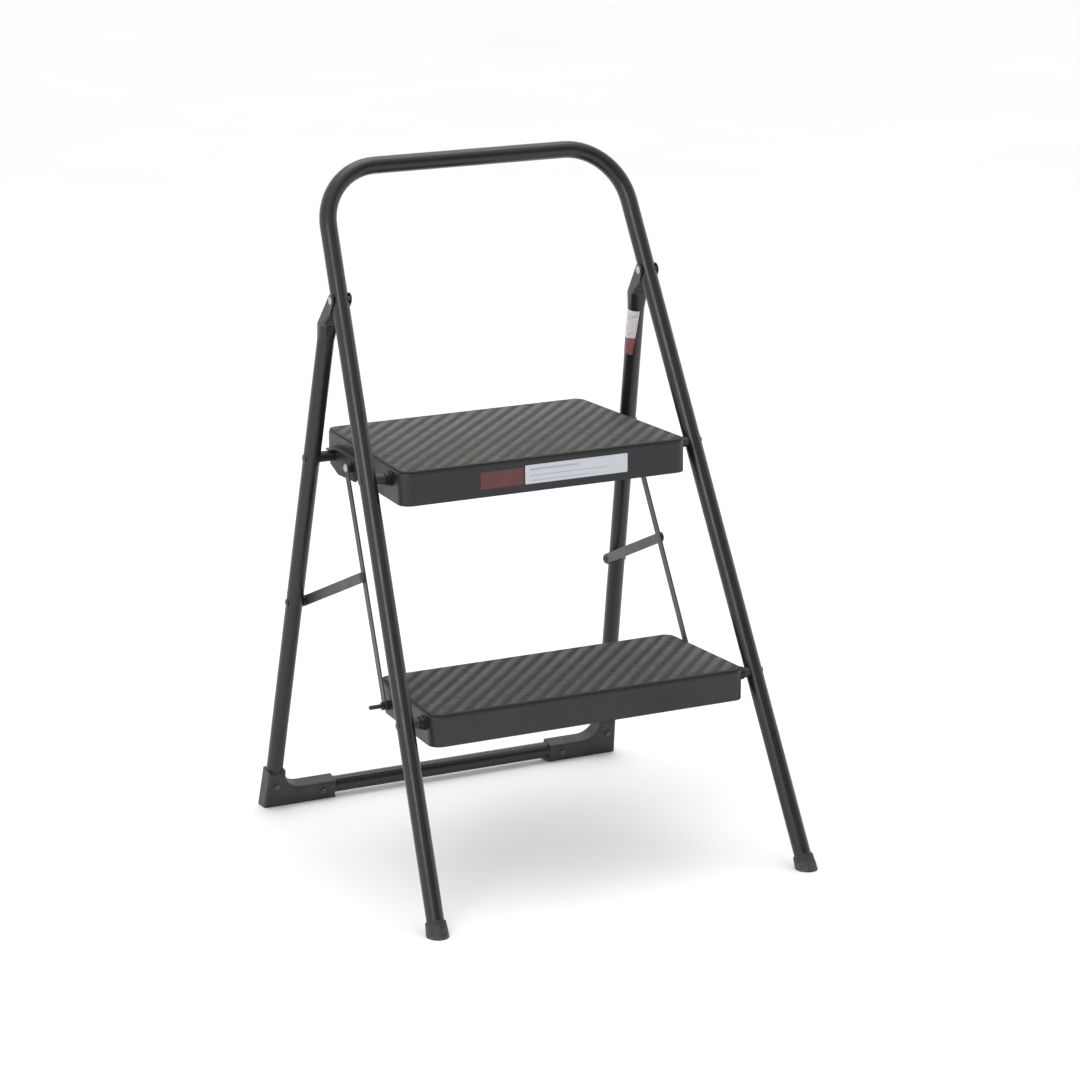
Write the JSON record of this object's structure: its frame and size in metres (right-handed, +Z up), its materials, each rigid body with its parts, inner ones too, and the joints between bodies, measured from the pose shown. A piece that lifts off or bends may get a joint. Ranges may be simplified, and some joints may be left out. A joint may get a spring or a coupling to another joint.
{
  "type": "step stool",
  "caption": "Folding steel step stool with an arched hand rail, ribbed treads, hanger straps, rubber tips and corner shoes, drawn open.",
  "frame": {"origin": "centre of the footprint on the floor", "axes": "+Z up, +Y toward the rear frame, +X to the right of a person standing in front"},
  "size_m": [0.5504, 0.5746, 0.886],
  "materials": {
    "frame_paint": "semi-gloss black enamel",
    "step_paint": "semi-gloss black enamel",
    "bracket_paint": "satin black enamel",
    "strap_paint": "satin dark grey enamel",
    "rivet_steel": "black oxide",
    "rivet_zinc": "zinc plated",
    "screw_steel": "black zinc",
    "spacer_steel": "satin dark grey",
    "rod_steel": "satin black",
    "bushing_plastic": "moulded black",
    "shoe_plastic": "moulded black",
    "foot_rubber": "moulded black",
    "tread_mat": "ribbed dark grey vinyl",
    "label_silver": "brushed, blank",
    "label_red": "plain muted red",
    "sticker_paper": "blank white"
  },
  "bodies": {
    "front_frame": {"front_frame_tube": "frame_paint", "front_foot_left": "foot_rubber", "front_foot_right": "foot_rubber", "rear_pivot_rivets": "rivet_zinc", "top_pivot_rivets": "rivet_steel", "top_pivot_spacers": "spacer_steel", "top_pivot_bushings": "bushing_plastic", "lower_pivot_rivets": "rivet_steel", "lower_pivot_spacers": "spacer_steel", "lower_pivot_bushings": "bushing_plastic"},
    "rear_frame": {"rear_frame_tube": "frame_paint", "rear_shoe_left": "shoe_plastic", "rear_shoe_right": "shoe_plastic", "rear_shoe_screws": "screw_steel", "rest_pins": "rivet_steel", "rest_sleeves": "bushing_plastic", "short_strap_pins": "rivet_steel", "short_strap_washers": "bushing_plastic", "leg_sticker": "sticker_paper"},
    "top_step": {"top_step_pan": "step_paint", "top_step_tread": "tread_mat", "top_step_stiffener": "step_paint", "top_rest_bracket_left": "bracket_paint", "top_rest_bracket_right": "bracket_paint", "top_bracket_rivets": "rivet_steel", "hanger_top_pins": "rivet_zinc", "hanger_top_spacers": "bushing_plastic", "label_plate": "label_silver", "label_red": "label_red"},
    "lower_step": {"lower_step_pan": "step_paint", "lower_step_tread": "tread_mat", "lower_step_stiffener": "step_paint", "lower_step_rod": "rod_steel", "lower_rod_spacers": "bushing_plastic", "lower_rod_collars": "bushing_plastic"},
    "hanger_left": {"hanger_strap_left": "strap_paint"},
    "hanger_right": {"hanger_strap_right": "strap_paint"},
    "short_left": {"short_strap_left": "strap_paint", "short_strap_stud_left": "rivet_steel"},
    "short_right": {"short_strap_right": "strap_paint", "short_strap_stud_right": "rivet_steel"}
  },
  "joints": [
    {"name": "top_step_fold", "type": "hinge", "parent": "front_frame", "child": "top_step", "pos_m": [0, -0.01625, 0.5123], "axis": [1, 0, 0], "range_deg": [0, 62]},
    {"name": "lower_step_fold", "type": "hinge", "parent": "front_frame", "child": "lower_step", "pos_m": [0, -0.15465, 0.2347], "axis": [1, 0, 0], "range_deg": [0, 62]},
    {"name": "rear_frame_fold", "type": "hinge", "parent": "front_frame", "child": "rear_frame", "pos_m": [0, 0.0883, 0.722], "axis": [-1, 0, 0], "range_deg": [0, 37.01]},
    {"name": "hanger_left_pivot", "type": "hinge", "parent": "top_step", "child": "hanger_left", "pos_m": [-0.207, 0.10455, 0.4993], "axis": [-1, 0, 0], "range_deg": [0, 62]},
    {"name": "short_strap_left_pivot", "type": "hinge", "parent": "rear_frame", "child": "short_left", "pos_m": [-0.2226, 0.20749, 0.299], "axis": [-1, 0, 0], "range_deg": [0, 48.66]},
    {"name": "hanger_right_pivot", "type": "hinge", "parent": "top_step", "child": "hanger_right", "pos_m": [0.207, 0.10455, 0.4993], "axis": [-1, 0, 0], "range_deg": [0, 62]},
    {"name": "short_strap_right_pivot", "type": "hinge", "parent": "rear_frame", "child": "short_right", "pos_m": [0.2226, 0.20749, 0.299], "axis": [-1, 0, 0], "range_deg": [0, 48.66]}
  ],
  "couplings": [
    {"joint": "lower_step_fold", "follows": "top_step_fold", "ratio": 1},
    {"joint": "rear_frame_fold", "follows": "top_step_fold", "ratio": 0.59677},
    {"joint": "hanger_left_pivot", "follows": "top_step_fold", "ratio": 1},
    {"joint": "short_strap_left_pivot", "follows": "top_step_fold", "ratio": 0.78468},
    {"joint": "hanger_right_pivot", "follows": "top_step_fold", "ratio": 1},
    {"joint": "short_strap_right_pivot", "follows": "top_step_fold", "ratio": 0.78468}
  ]
}
